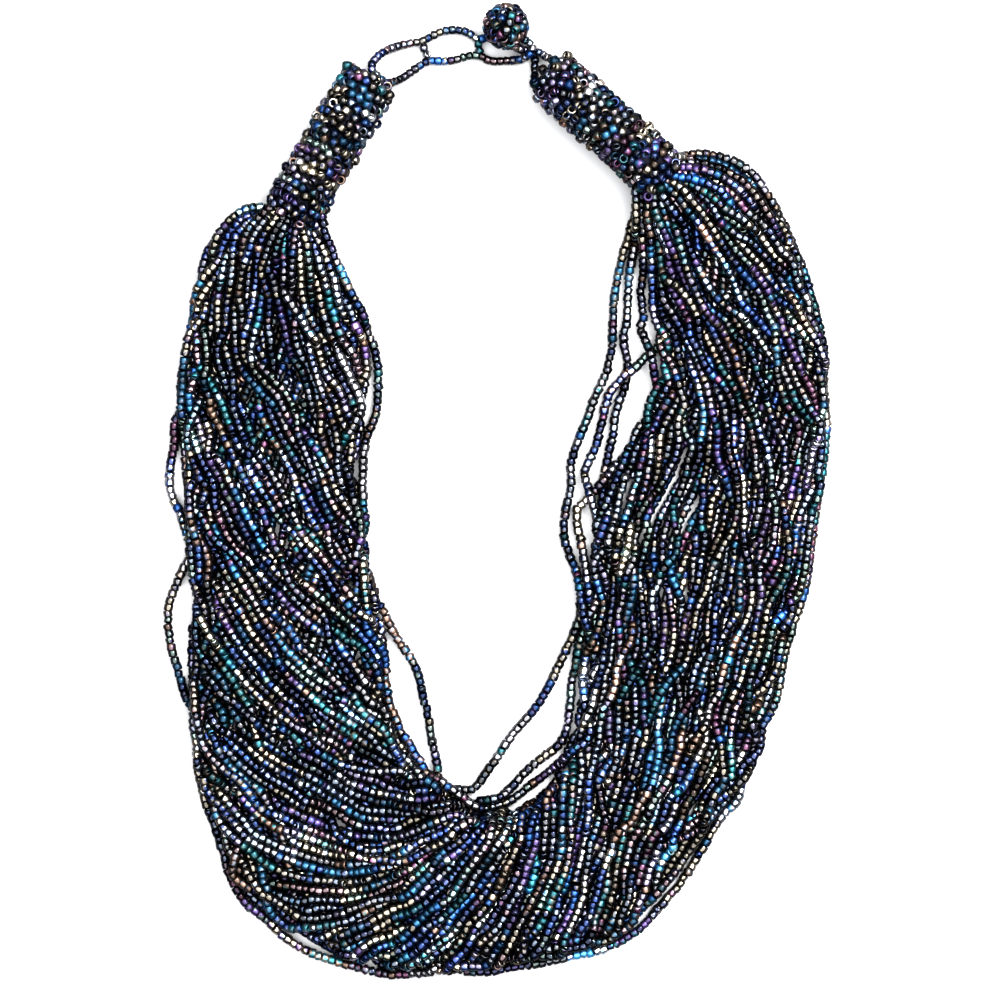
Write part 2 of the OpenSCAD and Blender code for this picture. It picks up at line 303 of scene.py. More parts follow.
# The two strands that stay at an edge, the outer and the inner one: the gap the others keep from them and how
# far the outer one bows out, at shares of the bundle's length. Below -1 there is no such gap
rimPlan = {
    "edges": (0, math.pi), "twist": 0.3, "wander": 0.9, "waves": ((40, 90, 1), (120, 200, 1)), "widest": 2,
    "gaps": (((0, -3), (0.3, -3), (0.36, -0.6), (0.43, 0.3), (0.6, 0.5), (0.66, -0.4), (0.74, -3), (1, -3)),
             ((0, -3), (0.3, -3), (0.38, -0.8), (0.44, -0.2), (0.56, -0.6), (0.62, -3), (1, -3))),
    "out": ((0.38, 0), (0.4, 1), (0.42, 1.9), (0.436, 1.8), (0.45, 0.7), (0.47, 0), (0.52, 0), (0.54, 1.6),
            (0.556, 1.6), (0.58, 0))
}

# In the necks the strands fill a round cord: its size against the neck's, and over what length they leave it
neckPlan = {"least": 0.02, "across": 0.88, "up": 3.4, "free": 26, "lift": 60, "firm": 0.25, "firmFrom": 6}

# A strand that owns a stray follows its route there, and is eased over some length on either side
strayPlan = {"firm": 2.0, "leaving": 24, "near": 1.5, "room": 9, "step": 1.5, "least": 10,
             "eased": 34, "rounds": 120, "ease": 0.8}

# Slits are kept open by a wall of points, and the strands beside them start on their own side
slitPlan = {"bead": 0.9, "side": 1.7, "within": 20, "step": 1.2, "rise": 1.8, "top": 27, "farOff": 1e3}

# A row of a strand's table: its place, the height it starts from, the height it is held at and how firmly,
# the stray it is part of or -1, how far it is from the bundle's end, and its section's middle, half and walls
heightAt, holdAt, firmAt, strayAt, endAt = 2, 3, 4, 5, 6
middleAt, halfAt, wallsAt = slice(7, 9), slice(9, 11), slice(11, 13)


def smoothStep(x):
    x = np.clip(x, 0, 1)
    return x * x * (3 - 2 * x)


def wandering(rng, count, along, waves, size):
    total = np.zeros((count, len(along)))
    for low, high, share in waves:
        wave = rng.uniform(low, high, (count, 1))
        phase = rng.uniform(0, 2 * math.pi, (count, 1))
        total += share * rng.uniform(0.4, 1.4, (count, 1)) * np.sin(2 * math.pi * along / wave + phase)
    return total * size


def strayRows(middle):
    found = []
    for route in strayRoutes.values():
        rows = [int(np.argmin(np.sum((middle - end) ** 2, axis=1))) for end in (route[0], route[-1])]
        line = evenly(spline(route, 0.1), 1.0)
        found.append((rows, line) if rows[0] < rows[1] else (rows[::-1], line[::-1]))
    return found


def parted(line, slit, plan):
    # A strand beside a slit stays on its own side of it
    route = evenly(np.array(slit, float), 1.0)
    way = np.gradient(route, axis=0)
    aside = np.column_stack([-way[:, 1], way[:, 0]]) / np.linalg.norm(way, axis=1, keepdims=True)
    away = line[:, None, 0:2] - route
    near = np.argmin(np.sum(away ** 2, axis=2), axis=1)
    beside = np.sum(away[np.arange(len(line)), near] * aside[near], axis=1)
    span = (near > 0) & (near < len(route) - 1) & (np.abs(beside) < plan["within"]) & (line[:, firmAt] < 1)
    side = 1 if beside[span].sum() > 0 else -1
    wrong = span & (beside * side < plan["side"])
    line[wrong, 0:2] = route[near[wrong]] + aside[near[wrong]] * side * plan["side"]


def slitWalls(plan):
    rows = []
    for slit in slitRoutes:
        for x, y in evenly(np.array(slit, float), plan["step"]):
            rows += [[x, y, z, z, 0, -1, 0, x, y, 1, 0, plan["farOff"], plan["farOff"]]
                     for z in np.arange(bundlePlan["lowest"], plan["top"], plan["rise"])]
    return np.array(rows, float)


def strandTurns(rng, along, plan, rim):
    # Each strand's place round the bundle in radians, from the outer edge over the top to the inner one
    count = plan["strands"]
    start = (np.arange(count) + 0.5) * 2 * math.pi / count
    start = start + rng.uniform(-plan["jitter"], plan["jitter"], count)
    twist = np.cumsum(np.interp(along / len(along), *zip(*plan["twist"])))
    turn = start[:, None] + twist + wandering(rng, count, along, plan["wanderWaves"], plan["wander"])
    for k, edge in enumerate(rim["edges"]):
        turn[k] = edge + rim["twist"] * (turn[k] - start[k] - twist)
    return turn


def strandPlaces(rng, table, turn, ends, width, plan, neck):
    # How far across its section each strand starts, how high, and at what height it is held
    count, along = plan["strands"], np.arange(len(table), dtype=float)
    part = np.mod(turn, 2 * math.pi)
    across = np.where(part < math.pi, 2 * part / math.pi - 1, 3 - 2 * part / math.pi)
    across = (across - (across + np.cos(part)) * plan["edgeRound"]) * plan["reach"]
    height = plan["low"] + plan["pile"] * (0.5 + 0.5 * np.sin(part))
    height += np.abs(wandering(rng, count, along, plan["pileWaves"], plan["pileWander"]))
    deep = np.sqrt(rng.uniform(neck["least"], 1, count))[:, None]
    free = smoothStep((ends - tubeSize["neckReach"]) / neck["free"])
    cordAcross = -np.cos(part) * deep * neck["across"]
    cordHeight = tubeSize["height"] + np.sin(part) * deep * neck["up"]
    across += wandering(rng, count, along, plan["rippleWaves"], plan["ripple"]) / width
    across = cordAcross + (across - cordAcross) * free
    low, crest = table[:, 4], table[:, 5]
    shape = low + plan["low"] + (crest - low - 2 * plan["low"]) * (0.5 + 0.5 * np.sin(part))
    held = cordHeight + (shape - cordHeight) * free
    lift = smoothStep((ends - tubeSize["neckReach"]) / neck["lift"])
    return across, held + (height - held) * lift, held, lift


def strandWalls(rng, along, width, lift, plan, rim):
    # How far across the strands may go, one row for each strand and edge, and how far the outer rim bows out
    count, share = plan["strands"], along / len(along)
    ragged = wandering(rng, count, along, plan["raggedWaves"], plan["ragged"]) + plan["raggedLeast"]
    out = np.interp(share, *zip(*rim["out"])) / width
    gaps = np.array([np.interp(share, *zip(*gap)) for gap in rim["gaps"]])
    wave = wandering(rng, 2, along, rim["waves"], rim["wander"])
    gaps = np.where(gaps < -1, gaps, np.clip(gaps + wave, 0, rim["widest"]))
    room = np.clip(gaps + plan["bead"], 0, None) * lift
    walls = []
    for k in range(count):
        isRim = k < len(rim["edges"])
        rough = plan["low"] + ragged[k] * (plan["raggedRim"] if isRim else 1)
        walls.append([1 - (rough + (0 if isRim else room[side])) / width for side in (0, 1)])
    walls[0][0] += out
    return walls, out


def eased(joined, number, plan):
    # Either side of the stray the strand runs smoothly into it
    mine = np.flatnonzero(joined[:, strayAt] == number)
    place = np.arange(len(joined))
    away = np.maximum(mine[0] - place, place - mine[-1])
    loose = ((away > 0) & (away < plan["eased"]))[1:-1, None]
    for again in range(plan["rounds"]):
        between = (joined[:-2, 0:2] + joined[2:, 0:2]) / 2 - joined[1:-1, 0:2]
        joined[1:-1, 0:2] += np.where(loose, between, 0) * plan["ease"]
    return joined


def followStrays(tables, turn, middle, half, plan):
    # The free strand nearest to each stray's edge takes its route
    rows, taken, low = len(middle), set(), bundlePlan["low"]
    along = np.arange(rows, dtype=float)
    for number, (reach, route) in enumerate(strayRows(middle)):
        share = np.sum((route[len(route) // 2] - middle) * half, axis=1)[sum(reach) // 2]
        edge = 0 if share < 0 else math.pi
        gap = np.mod(turn[:, reach[0]:reach[1]].mean(axis=1) - edge + math.pi, 2 * math.pi) - math.pi
        owner = next(k for k in np.argsort(np.abs(gap)) if k not in taken)
        taken.add(owner)
        own = tables[owner]
        near = smoothStep(plan["near"] - np.maximum(reach[0] - along, along - reach[1]) / plan["leaving"])
        own[:, heightAt] += (low - own[:, heightAt]) * near
        own[:, wallsAt] += plan["room"] * (near > 0)[:, None]
        part = spread(own, along, np.linspace(reach[0], reach[1], len(route)))
        part[:, 0:2], part[:, heightAt] = route, low
        part[:, firmAt], part[:, strayAt] = plan["firm"], number
        before = own[:max(plan["least"], reach[0] - plan["leaving"])]
        after = own[min(rows - plan["least"], reach[1] + plan["leaving"]):]
        joined = np.vstack([before, part, after])
        away = lengthAlong(joined[:, 0:2])
        joined = spread(joined, away, np.arange(0, away[-1], plan["step"]))
        mine = (joined[:, firmAt] > 0.995 * plan["firm"]) & (joined[:, strayAt] > number - 0.1)
        joined[:, strayAt] = np.where(mine, number, -1)
        joined[:, firmAt] = np.where(mine, plan["firm"], np.clip(joined[:, firmAt], 0, neckPlan["firm"]))
        tables[owner] = eased(joined, number, plan)


def layStrands(table, plan):
    rng = np.random.default_rng(plan["seed"])
    rows = len(table)
    along = np.arange(rows, dtype=float)
    ends = np.minimum(along, rows - 1 - along)
    outer, inner = table[:, 0:2], table[:, 2:4]
    middle, half = (outer + inner) / 2, (inner - outer) / 2
    width = np.linalg.norm(half, axis=1)
    turn = strandTurns(rng, along, plan, rimPlan)
    across, height, held, lift = strandPlaces(rng, table, turn, ends, width, plan, neckPlan)
    walls, out = strandWalls(rng, along, width, lift, plan, rimPlan)
    across[0] -= out
    firm = neckPlan["firm"] * (1 - smoothStep((ends - neckPlan["firmFrom"]) / neckPlan["lift"]))
    tables = [np.column_stack([middle + half * across[k][:, None], height[k], held[k], firm,
                               np.full(rows, -1), ends, middle, half, *walls[k]])
              for k in range(plan["strands"])]
    followStrays(tables, turn, middle, half, strayPlan)
    strands = []
    for line in tables:
        for slit in slitRoutes:
            parted(line, slit, slitPlan)
        line = line[line[:, endAt] >= plan["hidden"]]  # deeper in the tubes no bead is seen
        away = lengthAlong(line[:, 0:2])
        line = spread(line, away, np.arange(0, away[-1], plan["pitch"]))
        whole = np.round(line[:, strayAt])
        line[:, strayAt] = np.where(np.abs(line[:, strayAt] - whole) < 0.01, whole, -1)
        strands.append(line)
    return strands


def closePairs(points, strand, order, reach):
    cell = np.floor(points / reach).astype(np.int64)
    cell -= cell.min(axis=0) - 1
    high = cell.max(axis=0) + 2
    key = (cell[:, 0] * high[1] + cell[:, 1]) * high[2] + cell[:, 2]
    byKey = np.argsort(key, kind="stable")
    keys = key[byKey]
    first, second = [], []
    for dx, dy, dz in [(0, 0, 0), (0, 0, 1)] + [(0, 1, z) for z in (-1, 0, 1)] + \
            [(1, y, z) for y in (-1, 0, 1) for z in (-1, 0, 1)]:
        other = key + (dx * high[1] + dy) * high[2] + dz
        low = np.searchsorted(keys, other, "left")
        found = np.searchsorted(keys, other, "right") - low
        a = np.repeat(np.arange(len(points)), found)
        step = np.arange(len(a)) - np.repeat(np.cumsum(found) - found, found)
        b = byKey[np.repeat(low, found) + step]
        if (dx, dy, dz) == (0, 0, 0):
            a, b = a[a < b], b[a < b]
        first.append(a)
        second.append(b)
    a, b = np.concatenate(first), np.concatenate(second)
    apart = (strand[a] != strand[b]) | (np.abs(order[a] - order[b]) > 2)
    a, b = a[apart], b[apart]
    near = np.sum((points[a] - points[b]) ** 2, axis=1) < reach ** 2
    return a[near], b[near]


# The settling: how the strands fall onto each other, are pushed apart and keep to their own lines
settlePlan = {
    "steps": 250, "late": 0.8, "again": 2, "search": 5, "reach": 0.9, "pull": 0.012, "strayPull": 0.5,
    "fall": 0.16, "lateFall": 0.3, "hold": 0.3, "stiff": 0.12, "push": 0.4, "link": 0.42, "wall": 0.5,
    "fixed": 9, "neckBead": (0.56, 0.44), "neckSpan": 14, "tiny": 1e-9
}


def pushApart(points, a, b, room, plan):
    away = points[a] - points[b]
    far = np.sqrt(np.sum(away ** 2, axis=1)) + plan["tiny"]
    hit = far < room
    push = away[hit] * ((room[hit] - far[hit]) / far[hit] * plan["push"])[:, None]
    for axis in range(3):
        points[:, axis] += np.bincount(a[hit], push[:, axis], len(points))
        points[:, axis] -= np.bincount(b[hit], push[:, axis], len(points))


def keepPitch(points, inside, pitch, plan):
    link = points[1:] - points[:-1]
    size = np.sqrt(np.sum(link ** 2, axis=1, keepdims=True)) + plan["tiny"]
    link *= np.where(inside, (size - pitch) / size * plan["link"], 0)
    points[:-1] += link
    points[1:] -= link


def settle(strands, look, plan):
    lines = strands + [slitWalls(slitPlan)]
    strand = np.concatenate([np.full(len(line), k) for k, line in enumerate(lines)])
    order = np.concatenate([np.arange(len(line)) for line in lines])
    rows = np.vstack(lines)
    points, goal = rows[:, 0:3].copy(), rows[:, 0:2].copy()
    hold, firm, ends = rows[:, holdAt], rows[:, firmAt], rows[:, endAt]
    middle, half = rows[:, middleAt], rows[:, halfAt]
    outerWall, innerWall = rows[:, wallsAt].T
    square = np.sum(half ** 2, axis=1)
    stray, fixed, wall = firm > 1, ends < plan["fixed"], strand == len(strands)
    order[wall] = 0
    points[fixed, 2] = hold[fixed]
    held = points[fixed].copy()
    pull = np.where(stray, plan["strayPull"], plan["pull"])[:, None]
    lifted = np.where(stray, 0, np.clip(firm, 0, neckPlan["firm"]))
    fall = plan["fall"] * (1 - lifted / neckPlan["firm"])
    least, growth = plan["neckBead"]
    width = look["bead"] * (least + growth * smoothStep((ends - plan["fixed"]) / plan["neckSpan"]))
    width = np.where(wall, slitPlan["bead"], width)
    inside = (strand[1:] == strand[:-1])[:, None]
    for step in range(plan["steps"]):
        if step % plan["search"] == 0:
            a, b = closePairs(points, strand, order, look["bead"] + plan["reach"])
            room = (width[a] + width[b]) / 2
        late = step > plan["steps"] * plan["late"]
        points[:, 2] -= fall * (plan["lateFall"] if late else 1)
        points[:, 0:2] += (goal - points[:, 0:2]) * pull
        points[:, 2] += (hold - points[:, 2]) * lifted * plan["hold"]
        bend = np.zeros_like(points)
        bend[1:-1] = (points[:-2] + points[2:]) / 2 - points[1:-1]
        bend[1:-1][~(inside[:-1, 0] & inside[1:, 0])] = 0
        points += bend * plan["stiff"]
        for again in range(plan["again"]):
            pushApart(points, a, b, room, plan)
            keepPitch(points, inside, look["pitch"], plan)
            share = np.sum((points[:, 0:2] - middle) * half, axis=1) / square
            over = np.maximum(share - innerWall, 0) - np.maximum(-share - outerWall, 0)
            points[:, 0:2] -= half * (plan["wall"] * over)[:, None]
            points[:, 2] = np.maximum(points[:, 2], look["lowest"])
            points[stray, 2] = look["lowest"]
            points[fixed] = held
    return points, strand, rows[:, strayAt].astype(int)


def stringBeads(points, strand, stray, look):
    # Each strand starts at its own phase, with beads that are a little longer or shorter
    rng = np.random.default_rng(look["seed"] + 1)
    kept = []
    for k in range(look["strands"]):
        mine = np.flatnonzero(strand == k)
        line = points[mine]
        along = lengthAlong(line)
        size = np.clip(rng.normal(1, look["uneven"], len(mine) * 2), *look["sizes"])
        spot = rng.uniform(0, look["pitch"]) + np.cumsum(size * look["pitch"]) - size * look["pitch"] / 2
        size, spot = size[spot < along[-1]], spot[spot < along[-1]]
        owner = stray[mine][np.searchsorted(along, spot).clip(1, len(mine) - 1) - 1]
        kept.append(np.column_stack([spread(line, along, spot), np.full(len(spot), k), owner, size]))
    kept = np.vstack(kept)
    return kept[:, 0:3], kept[:, 3].astype(int), kept[:, 4].astype(int), kept[:, 5]


strands = layStrands(sectionTable(), bundlePlan)
places, strandOf, strayOf, beadSize = stringBeads(*settle(strands, bundlePlan, settlePlan), bundlePlan)
print("strands settled:", len(strands), "strands,", len(places), "beads, crest",
      round(float(places[:, 2].max()), 2))

# Hues of the iris finish: the tint, how satin it is, and how often it comes up
hues = {
    "jet": ((0.014, 0.018, 0.038), 0.0, 14), "silver": ((0.095, 0.095, 0.1), 0.0, 14),
    "cream": ((0.114, 0.102, 0.082), 0.0, 18), "ice": ((0.069, 0.081, 0.101), 0.0, 12),
    "mint": ((0.066, 0.09, 0.082), 0.1, 6), "rose": ((0.094, 0.067, 0.073), 0.1, 6),
    "lilac": ((0.065, 0.06, 0.085), 0.2, 5), "navy": ((0.009, 0.018, 0.054), 0.6, 12),
    "royal": ((0.009, 0.032, 0.088), 1.0, 6), "azure": ((0.016, 0.057, 0.097), 1.0, 6),
    "teal": ((0.011, 0.049, 0.057), 0.9, 7), "violet": ((0.034, 0.023, 0.06), 0.9, 5),
    "plum": ((0.05, 0.022, 0.04), 0.7, 3), "copper": ((0.066, 0.044, 0.034), 0.7, 6)
}

# How hues run along a strand: beads in a run, the share of them that keep its hue, and how much strands,
# runs and beads differ in brightness
hueRuns = {"length": (3, 11), "same": 0.8, "strand": 0.26, "run": 0.46, "bead": 0.3, "glow": 0.92,
           "brightest": 0.95}


def beadColours(rng, chains, glow=hueRuns["glow"], plan=hueRuns):
    colours, satins, often = (np.array(column, float) for column in zip(*hues.values()))
    often /= often.sum()
    main, other, light = (np.zeros(len(chains), int), np.zeros(len(chains), int), np.zeros(len(chains)))
    left, last = 0, -1
    for k, chain in enumerate(chains):
        if chain != last:
            left, last, chainLight = 0, chain, rng.normal(0, plan["strand"])
        if left <= 0:
            run = rng.choice(len(colours), 2, p=often)
            left, runLight = rng.integers(*plan["length"]), rng.normal(0, plan["run"])
        left -= 1
        main[k] = run[0] if rng.random() < plan["same"] else rng.choice(len(colours), p=often)
        other[k] = run[1]
        light[k] = glow * math.exp(chainLight + runLight + rng.normal(0, plan["bead"]))
    return {"tint": np.clip(colours[main] * light[:, None], 0, plan["brightest"]),
            "flash": np.clip(colours[other] * light[:, None], 0, plan["brightest"]), "satin": satins[main]}


# Bead shapes, in millimetres: outer diameter, hole, length, sides round and points of the section
strandBead = {"outer": 2.5, "hole": 0.8, "length": 1.8, "sides": 7, "section": 5,
              "round": 3.0, "square": 0.2}
tubeBead = {"outer": 2.75, "hole": 1.0, "length": 2.05, "sides": 8, "section": 5,
            "round": 2.3, "square": 0.05}
claspBead = {"outer": 2.2, "hole": 0.7, "length": 1.66, "sides": 8, "section": 5,
             "round": 3.0, "square": 0.2}
beadSockets = (("Outer diameter", "outer", mm), ("Hole diameter", "hole", mm), ("Length", "length", mm),
               ("Sides", "sides", 1), ("Section points", "section", 1), ("Roundness", "round", 1),
               ("Squareness", "square", 1))
beadRise = 0.52  # half a bead's height against its length, so that its ends touch the next bead's
seamGap = 1e-6
mapCell = {"fill": 0.8, "rim": 0.1}  # each bead's part of its own cell of the map


def beadTree():
    tree = bpy.data.node_groups.new("beadsOnPoints", "GeometryNodeTree")
    tree.interface.new_socket("Geometry", in_out="INPUT", socket_type="NodeSocketGeometry")
    for label, key, unit in beadSockets:
        whole = key in ("sides", "section")
        tree.interface.new_socket(label, in_out="INPUT",
                                  socket_type="NodeSocketInt" if whole else "NodeSocketFloat")
    tree.interface.new_socket("Geometry", in_out="OUTPUT", socket_type="NodeSocketGeometry")
    source = tree.nodes.new("NodeGroupInput")
    given = {socket.name: Wire(tree, socket) for socket in source.outputs if socket.name}
    grid = add(tree, "GeometryNodeMeshGrid", {}, {"Size X": 1.0, "Size Y": 1.0,
               "Vertices X": given["Sides"] + 1, "Vertices Y": given["Section points"] + 1})
    cells = Wire(tree, grid.socket.node.outputs["UV Map"])
    mapped = add(tree, "GeometryNodeStoreNamedAttribute", {"data_type": "FLOAT2", "domain": "CORNER"},
                 {"Geometry": grid, "Name": "OFBake", "Value": cells})
    place = add(tree, "GeometryNodeInputPosition")
    split = add(tree, "ShaderNodeSeparateXYZ", {}, {0: place})
    across = Wire(tree, split.socket.node.outputs[1])
    around = (split + 0.5) * (2 * math.pi)
    turn = (across + 0.5) * (2 * math.pi) + math.pi
    turn = turn + (turn * 2).sin() * given["Squareness"]
    outer, hole = given["Outer diameter"], given["Hole diameter"]
    radius = outer / 2 - (outer - hole) / 2 * ((1 - turn.cos()) / 2) ** given["Roundness"]
    height = given["Length"] * beadRise * turn.sin()
    spot = add(tree, "ShaderNodeCombineXYZ", {},
               {0: radius * around.cos(), 1: radius * around.sin(), 2: height})
    shaped = add(tree, "GeometryNodeSetPosition", {}, {"Geometry": mapped, "Position": spot})
    bead = add(tree, "GeometryNodeMergeByDistance", {}, {"Geometry": shaped, "Distance": seamGap})
    smooth = add(tree, "GeometryNodeSetShadeSmooth", {}, {"Geometry": bead, "Shade Smooth": True})
    named = {}
    for name, kind in (("along", "FLOAT_VECTOR"), ("spin", "FLOAT"), ("size", "FLOAT")):
        named[name] = add(tree, "GeometryNodeInputNamedAttribute", {"data_type": kind}, {"Name": name})
    aimed = add(tree, "FunctionNodeAlignRotationToVector", {"axis": "Z"}, {"Vector": named["along"]})
    spun = add(tree, "FunctionNodeAxisAngleToRotation", {}, {"Axis": (0, 0, 1), "Angle": named["spin"]})
    turned = add(tree, "FunctionNodeRotateRotation", {"rotation_space": "LOCAL"},
                 {"Rotation": aimed, "Rotate By": spun})
    strung = add(tree, "GeometryNodeInstanceOnPoints", {}, {"Points": given["Geometry"], "Instance": smooth,
                 "Rotation": turned, "Scale": named["size"]})
    real = add(tree, "GeometryNodeRealizeInstances", {}, {"Geometry": strung})
    dressed = add(tree, "GeometryNodeSetMaterial", {}, {"Geometry": real, "Material": beadGlass})
    out = tree.nodes.new("NodeGroupOutput")
    tree.links.new(dressed.socket, out.inputs[0])
    return tree


beadNodes = beadTree()


def makeBeads(name, spots, along, spin, size, paint, bead):
    mesh = bpy.data.meshes.new(name)
    mesh.from_pydata(np.asarray(spots * mm).tolist(), [], [])
    for label, values in {"along": along, "spin": spin, "size": size, **paint}.items():
        kind, field = ("FLOAT_VECTOR", "vector") if values.ndim == 2 else ("FLOAT", "value")
        mesh.attributes.new(label, kind, "POINT").data.foreach_set(field, values.astype(np.float32).ravel())
    points = bpy.data.objects.new(name, mesh)
    bpy.context.collection.objects.link(points)
    modifier = points.modifiers.new("beads", "NODES")
    modifier.node_group = beadNodes
    names = {item.name: item.identifier for item in beadNodes.interface.items_tree if item.in_out == "INPUT"}
    for label, key, unit in beadSockets:
        modifier[names[label]] = bead[key] * unit
    graph = bpy.context.evaluated_depsgraph_get()
    solid = bpy.data.meshes.new_from_object(points.evaluated_get(graph), depsgraph=graph)
    points.modifiers.clear()
    points.data = solid
    solid.name = name
    bpy.data.meshes.remove(mesh)
    corners = len(solid.loops) // len(spots)
    cells = math.ceil(math.sqrt(len(spots)))
    flat = np.zeros(len(solid.loops) * 2, np.float32)
    layer = solid.uv_layers["OFBake"]
    layer.data.foreach_get("uv", flat)
    flat = flat.reshape(-1, 2) * mapCell["fill"] + mapCell["rim"]
    number = np.arange(len(solid.loops)) // corners
    flat[:, 0] = (flat[:, 0] + number % cells) / cells
    flat[:, 1] = (flat[:, 1] + number // cells) / cells
    layer.data.foreach_set("uv", flat.ravel())
    return points


def tangents(points, chain):
    ahead, behind = np.roll(points, -1, axis=0), np.roll(points, 1, axis=0)
    ahead[chain != np.roll(chain, -1)] = points[chain != np.roll(chain, -1)]
    behind[chain != np.roll(chain, 1)] = points[chain != np.roll(chain, 1)]
    way = ahead - behind
    return way / (np.linalg.norm(way, axis=1, keepdims=True) + 1e-9)


anySpin = 6.28  # a bead's turn round its own hole, in radians
pieceCount = {}


def enlist(piece, slot, *nodes):
    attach(piece, "root")
    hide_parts(*nodes)
    pieceCount[piece.name] = sum(len(face.vertices) - 2 for face in piece.data.polygons)


def camel(node):
    first, *others = node.split("_")
    return first + "".join(word.title() for word in others)


# The strands' beads, in groups small enough for one piece, and one piece for each stray
strandPieces = {"seed": 5, "groups": 6, "tilt": 0.2, "jitter": 0.08}


def makeStrands(look):
    rng = np.random.default_rng(look["seed"])
    total = len(places)
    spots = places + rng.normal(0, look["jitter"], (total, 3))
    spots[:, 2] = np.maximum(spots[:, 2], bundlePlan["lowest"])
    along = tangents(places, strandOf) + rng.normal(0, look["tilt"], (total, 3))
    spin = rng.uniform(0, 2 * math.pi, total)
    paint = beadColours(rng, strandOf)
    group = strandOf * look["groups"] // bundlePlan["strands"]
    parts = [(f"strands{number + 1}", (group == number) & (strayOf < 0), "strand_bundle")
             for number in range(look["groups"])]
    parts += [(camel(node), strayOf == number, node) for number, node in enumerate(strayRoutes)]
    for name, mine, node in parts:
        piece = makeBeads(name, spots[mine], along[mine], spin[mine], beadSize[mine],
                          {key: values[mine] for key, values in paint.items()}, strandBead)
        enlist(piece, "strand_beads", node)


makeStrands(strandPieces)
print("strand beads made")

# Beaded tubes: rows of beads sewn round a dark core
tubePlan = {
    "seed": 21, "firstRow": 1.3, "rowPitch": 2.3, "endGap": 0.4, "around": 17, "centre": 6.55,
    "jitter": 0.5, "proud": 0.45, "proudShare": 0.12, "rowJitter": 0.5, "turnJitter": 0.25,
    "firstBack": 0.8, "apart": 2.35, "rounds": 30, "push": 0.4, "lowest": 1.42, "highest": 14.45,
    "endRings": ((5.0, 14, 0.2), (2.9, 8, -0.4), (0.8, 3, -0.7)), "ringTurn": 0.3, "endJitter": 0.2,
    "loose": 9, "looseOut": (0.2, 0.9), "looseRadius": (6.2, 7.4), "holeUp": 0.06, "holeTilt": 1.6,
    "tilt": 0.4, "sizes": (0.94, 1.05), "glow": 1.25, "satin": 0.3, "run": 4, "core": 5.9, "coreInset": 0.5,
    "coreDepth": 9
}


def lathe(name, outline, start, way, sides=40):
    side = np.cross((0, 0, 1), way)
    verts, faces = [], []
    for radius, out in outline:
        for k in range(sides):
            turn = 2 * math.pi * k / sides
            rise = np.array((0, 0, radius * math.sin(turn)))
            verts.append((start + way * out + side * radius * math.cos(turn) + rise) * mm)
    for r in range(len(outline) - 1):
        for k in range(sides):
            a, b = r * sides + k, r * sides + (k + 1) % sides
            faces.append((a, b, b + sides, a + sides))
    faces.append(tuple(range(sides))[::-1])
    faces.append(tuple(range((len(outline) - 1) * sides, len(outline) * sides)))
    mesh = bpy.data.meshes.new(name)
    mesh.from_pydata([tuple(v) for v in verts], [], faces)
    mesh.polygons.foreach_set("use_smooth", [True] * len(faces))
    piece = bpy.data.objects.new(name, mesh)
    bpy.context.collection.objects.link(piece)
    mesh.materials.append(thread)
    return piece


def loosen(spots, plan):
    out, radius, turn = spots.T.copy()
    count = len(out)
    for step in range(plan["rounds"]):
        points = np.column_stack([out, radius * np.cos(turn), radius * np.sin(turn)])
        a, b = closePairs(points, np.arange(count), np.zeros(count), plan["apart"])
        away = points[a] - points[b]
        far = np.linalg.norm(away, axis=1, keepdims=True)
        push = away * (plan["apart"] - far) / far * plan["push"]
        for axis in range(3):
            points[:, axis] += np.bincount(a, push[:, axis], count) - np.bincount(b, push[:, axis], count)
        out, turn = points[:, 0], np.arctan2(points[:, 2], points[:, 1])
    return np.column_stack([out, radius, turn])


def tubeSpots(length, plan, rng):
    # Each bead's distance from the closed end, from the axis, and its turn round it
    spots = []
    for r in range(int((length - plan["endGap"]) / plan["rowPitch"]) + 1):
        for k in range(plan["around"]):
            turn = 2 * math.pi * (k + 0.5 * (r % 2) + rng.normal(0, plan["turnJitter"])) / plan["around"]
            radius = plan["centre"] + rng.uniform(-plan["jitter"], plan["jitter"])
            radius += (rng.random() < plan["proudShare"]) * plan["proud"]
            out = plan["firstRow"] + r * plan["rowPitch"] + rng.normal(0, plan["rowJitter"])
            out -= (r == 0) * rng.uniform(0, plan["firstBack"])
            spots.append((out, radius, turn))
    for radius, count, out in plan["endRings"]:
        for k in range(count):
            spots.append((out + rng.normal(0, plan["endJitter"]), radius,
                          2 * math.pi * (k + rng.uniform(0, plan["ringTurn"])) / count))
    before, beyond = plan["looseOut"]
    for k in range(plan["loose"]):
        spots.append((rng.choice((before, length + beyond)) + rng.normal(0, plan["endJitter"]),
                      rng.uniform(*plan["looseRadius"]), rng.uniform(0, 2 * math.pi)))
    return np.array(spots)


